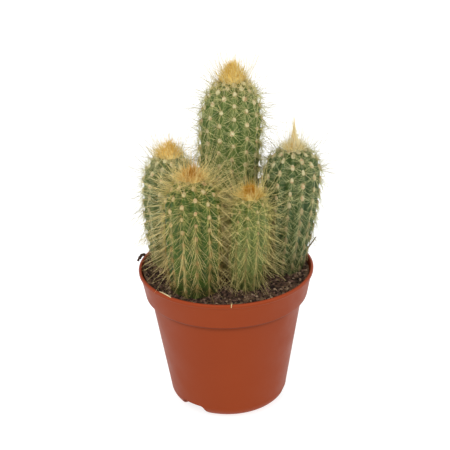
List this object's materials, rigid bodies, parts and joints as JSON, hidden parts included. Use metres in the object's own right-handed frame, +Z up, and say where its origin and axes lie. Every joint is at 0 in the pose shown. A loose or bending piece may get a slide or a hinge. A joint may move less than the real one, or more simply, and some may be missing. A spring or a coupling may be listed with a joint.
{
  "type": "potted column cactus",
  "caption": "Clump of ribbed, golden-spined column cacti with woolly bristle crowns, growing in soil in a plain round nursery pot that stands on its foot.",
  "frame": {"origin": "centre of the pot's foot, on the surface that the pot stands on", "axes": "+Z up along the pot's axis, -Y towards the side that the picture was taken from, +X to that view's right"},
  "size_m": [0.1334, 0.12, 0.238],
  "materials": {
    "pot_plastic": "satin terracotta-coloured plastic",
    "potting_soil": "dark crumbly potting soil",
    "cactus_skin": "green waxy skin with cream spines",
    "young_spines": "dense golden bristles"
  },
  "bodies": {
    "root": {"pot": "pot_plastic", "soil": "potting_soil", "crown_tall": "young_spines", "crown_right": "young_spines", "crown_back_left": "young_spines", "crown_front_left": "young_spines", "crown_front_centre": "young_spines", "stem_tall": "cactus_skin", "stem_right": "cactus_skin", "stem_back_left": "cactus_skin", "stem_front_left": "cactus_skin", "stem_front_centre": "cactus_skin"}
  },
  "joints": []
}
